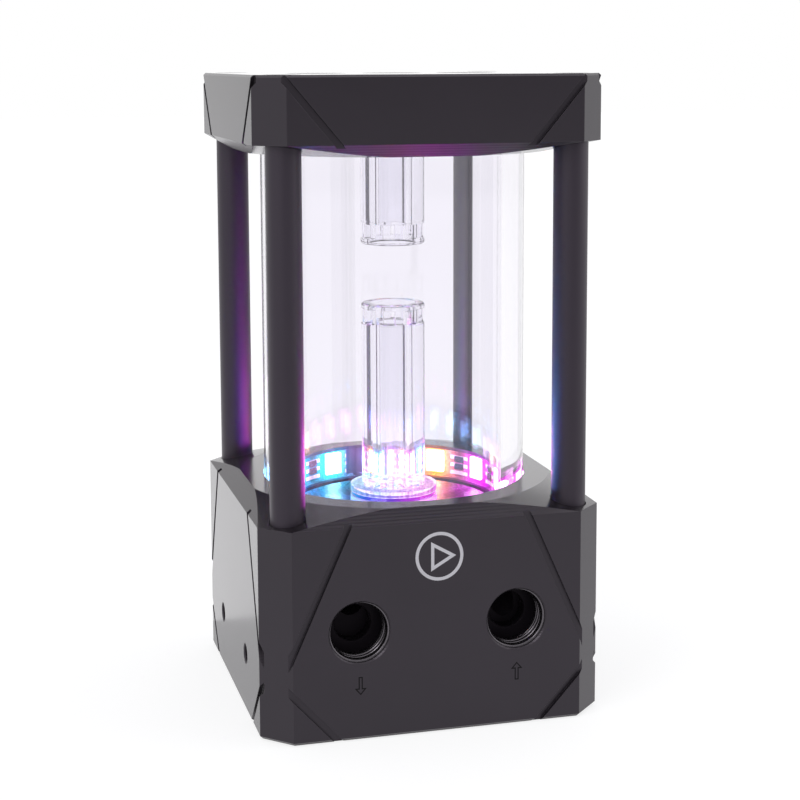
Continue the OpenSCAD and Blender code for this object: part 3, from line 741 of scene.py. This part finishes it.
def add_pump_symbol():
    """The general sign for a pump, a circle round a triangle, in white paint above the ports."""
    paint = plain_finish("white_paint", (0.8, 0.78, 0.83), (0.7, 0.68, 0.73), 0.45, grain=0.2 * MM)
    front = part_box("base_block")[0].y
    lines = []
    for radii, corners in ((SIGN_RING, ROUND_STEPS), (SIGN_TRIANGLE, 3)):
        outer, inner = (circle(radius, SIGN_PLACE, corners) for radius in radii)
        lines.append(plate(outer, inner, front, PAINT_DEPTH))
    mesh_piece("pump_symbol", join(*lines), paint, smooth=False)


def arrow_outline(middle_x, tip_up):
    """Outline of an arrow 4 mm tall under a port, in X and Z."""
    points = [(0, 2), (1.3, 0.5), (0.45, 0.5), (0.45, -2), (-0.45, -2), (-0.45, 0.5), (-1.3, 0.5)]
    upright = MM if tip_up else -MM
    return [(x * MM + middle_x, z * upright + ARROW_Z) for x, z in points]


def inset(points, amount):
    """The outline moved inwards, each corner along its bisector."""
    count = len(points)
    area = sum(points[i - 1][0] * points[i][1] - points[i][0] * points[i - 1][1]
               for i in range(count))
    turn = 1 if area > 0 else -1
    moved = []
    for i in range(count):
        here = Vector(points[i])
        before = (here - Vector(points[i - 1])).normalized()
        after = (Vector(points[(i + 1) % count]) - here).normalized()
        left_before = Vector((-before.y, before.x)) * turn
        left_after = Vector((-after.y, after.x)) * turn
        bisector = (left_before + left_after).normalized()
        moved.append(tuple(here + bisector * amount / max(0.3, bisector.dot(left_before))))
    return moved


def add_flow_arrows():
    """Engraved arrows under the front ports, out of the left one and into the right one, as thin
    plates in painted shade.
    """
    # near-black with little gloss: painted shade of the engraved grooves
    cut = plain_finish("engraving_shade", (0.004, 0.004, 0.0045), (0.007, 0.006, 0.007), 0.6,
                       grain=0.1 * MM, Specular_IOR_Level=0.12)
    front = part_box("base_block")[0].y
    for way, tip_up in (("out", False), ("in", True)):
        outline = arrow_outline(mounts[f"port_{way}"]["pos_m"][0], tip_up)
        figure = plate(outline, inset(outline, ARROW_LINE), front, ENGRAVING_DEPTH)
        mesh_piece(f"flow_arrow_{way}", figure, cut, smooth=False)


def dome(centre, axis, side, up, radius, rise):
    """A shallow dome that faces along axis, closed by a flat back."""
    verts = []
    for k in range(DOME_RINGS):
        share = 1 - k / DOME_RINGS
        lift = rise * (1 - share * share)
        for i in range(DOME_STEPS):
            angle = math.tau * i / DOME_STEPS
            out = side * math.cos(angle) + up * math.sin(angle)
            verts.append(centre + out * radius * share + axis * lift)
    verts.append(centre + axis * rise)
    tip = len(verts) - 1
    faces = []
    for k in range(DOME_RINGS):
        ring = k * DOME_STEPS
        for i in range(DOME_STEPS):
            here, ahead = ring + i, ring + (i + 1) % DOME_STEPS
            last = k == DOME_RINGS - 1
            above = (tip,) if last else (ahead + DOME_STEPS, here + DOME_STEPS)
            faces.append((here, ahead, *above))
    faces.append(tuple(range(DOME_STEPS)))
    return verts, faces


def add_lamps():
    """A glowing dome in each lamp body, and a small soft light in front of it for its halo."""
    low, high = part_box("led_packages")
    up = Vector((0, 0, 1))
    middle = up * ((low.z + high.z) / 2)
    for i, colour in enumerate(LAMP_COLOURS):
        number = f"{i + 1:02d}"
        turn = LAMP_FIRST + math.tau * i / len(LAMP_COLOURS)
        out = Vector((math.cos(turn), math.sin(turn), 0))
        side = Vector((-out.y, out.x, 0))
        lens = dome(out * (LAMP_FACE + LENS_SUNK) + middle, -out, side, up, LENS_R, LENS_RISE)
        gel = lamp_lens_finish(f"lamp_{number}", colour)
        mesh_piece(f"lamp_lens_{number}", lens, gel)
        glow = bpy.data.lights.new(f"halo_{number}", "AREA")
        glow.shape = "DISK"
        glow.size = 2 * LENS_R
        glow.color = colour
        hang(glow, out * (LAMP_FACE - HALO_GAP) + middle, -out, HALO_POWER)


# ---- studio ----

def hang(light, location, direction, power):
    """Puts an area light in its place, unseen by the camera and through clear things."""
    light.energy = power
    lamp = bpy.data.objects.new(light.name, light)
    lamp.location = location
    lamp.rotation_mode = "QUATERNION"
    lamp.rotation_quaternion = direction.to_track_quat("-Z", "Y")
    lamp.visible_camera = False
    lamp.visible_transmission = False
    bpy.context.scene.collection.objects.link(lamp)


def softbox(name, location, size, power, aim):
    """A large soft lamp pointed at a place."""
    light = bpy.data.lights.new(name, "AREA")
    light.shape = "RECTANGLE"
    light.size, light.size_y = size
    hang(light, location, aim - Vector(location), power)


def sees_white(tree):
    """1 for rays from the camera, from gloss and through clear things, 0 for soft light."""
    path = add(tree, "ShaderNodeLightPath").outputs
    seen = calc(tree, "MAXIMUM", path["Is Camera Ray"], path["Is Glossy Ray"])
    return calc(tree, "MAXIMUM", seen, path["Is Transmission Ray"])


def make_world():
    """White to the camera, gloss and glass; a soft pale light to everything else."""
    world = bpy.data.worlds.new("studio")
    bpy.context.scene.world = world
    world.use_nodes = True
    tree = world.node_tree
    tree.nodes.clear()
    soft = add(tree, "ShaderNodeBackground", {0: rgba(WORLD_TINT), 1: WORLD_LIGHT})
    white = add(tree, "ShaderNodeBackground", {0: (1, 1, 1, 1), 1: 1.0})
    ways = {0: sees_white(tree), 1: soft.outputs[0], 2: white.outputs[0]}
    both = add(tree, "ShaderNodeMixShader", ways)
    add(tree, "ShaderNodeOutputWorld", {0: both.outputs[0]})


def sheet_object(name, size, material):
    """A flat sheet about its own origin, not part of the object."""
    mesh = bpy.data.meshes.new(name)
    half_x, half_y = size[0] / 2, size[1] / 2
    corners = [(x * half_x, y * half_y, 0) for x, y in ((-1, -1), (1, -1), (1, 1), (-1, 1))]
    mesh.from_pydata(corners, [], [(0, 1, 2, 3)])
    mesh.materials.append(material)
    made = bpy.data.objects.new(name, mesh)
    bpy.context.scene.collection.objects.link(made)
    return made


def make_floor():
    """Pale floor that reads as white round the object and keeps its soft shadow."""
    made, tree = new_material("floor")
    paper = add(tree, "ShaderNodeBsdfDiffuse", {0: rgba(FLOOR_GREY)})
    away = add(tree, "ShaderNodeVectorMath", {0: place(tree)}, operation="LENGTH").outputs["Value"]
    level = carry(tree, away, FLOOR_NEAR, FLOOR_FAR, FLOOR_GLOW, FLOOR_GLOW_FAR)
    glow = add(tree, "ShaderNodeEmission", {1: product(tree, sees_white(tree), level)})
    show(tree, add(tree, "ShaderNodeAddShader", {0: paper.outputs[0], 1: glow.outputs[0]}))
    floor = sheet_object("floor", (FLOOR_SIZE, FLOOR_SIZE), made)
    floor.location.z = -FLOOR_DROP


def make_grey_card():
    """A grey card behind the camera that only gloss sees, so that upright black faces stay deep."""
    made, tree = new_material("grey_card")
    show(tree, add(tree, "ShaderNodeEmission", {0: rgba(CARD_GREY), 1: 1.0}))
    card = sheet_object("grey_card", CARD_SIZE, made)
    card.location = CARD_PLACE
    card.rotation_euler = (math.radians(90), 0, 0)
    card.visible_camera = False
    card.visible_diffuse = False
    card.visible_transmission = False
    card.visible_shadow = False


def make_camera():
    """Camera at the measured place, heading, tilt and roll."""
    flat = Vector((math.sin(CAMERA_HEADING), math.cos(CAMERA_HEADING), 0))
    forward = flat * math.cos(CAMERA_TILT) + Vector((0, 0, math.sin(CAMERA_TILT)))
    right = forward.cross(Vector((0, 0, 1))).normalized()
    up = right.cross(forward)
    rolled_right = right * math.cos(CAMERA_ROLL) + up * math.sin(CAMERA_ROLL)
    rolled_up = up * math.cos(CAMERA_ROLL) - right * math.sin(CAMERA_ROLL)
    data = bpy.data.cameras.new("camera")
    data.sensor_width = 36
    data.lens = CAMERA_LENS
    data.shift_y = CAMERA_SHIFT
    data.clip_start = 0.01
    data.clip_end = 50
    camera = bpy.data.objects.new("camera", data)
    turn = Matrix((rolled_right, rolled_up, -forward)).transposed()
    camera.matrix_world = Matrix.Translation(CAMERA_PLACE) @ turn.to_4x4()
    bpy.context.scene.collection.objects.link(camera)
    bpy.context.scene.camera = camera


def make_studio():
    """Camera, world, floor, lamps and card.

    The low lamp stands behind the object at the left, just over the floor, and faces straight up.
    """
    make_camera()
    make_world()
    make_floor()
    low, high = cad_box
    for box in SOFTBOXES:
        softbox(*box, aim=(low + high) / 2)
    x, y, _ = LOW_LAMP[1]
    softbox(*LOW_LAMP, aim=Vector((x, y, 1)))
    make_grey_card()


materials = finishes()
dress_nodes(materials)
add_threads(materials["black_acetal"])
add_pump_symbol()
add_flow_arrows()
add_lamps()
make_studio()
bpy.context.scene.view_settings.view_transform = "Standard"
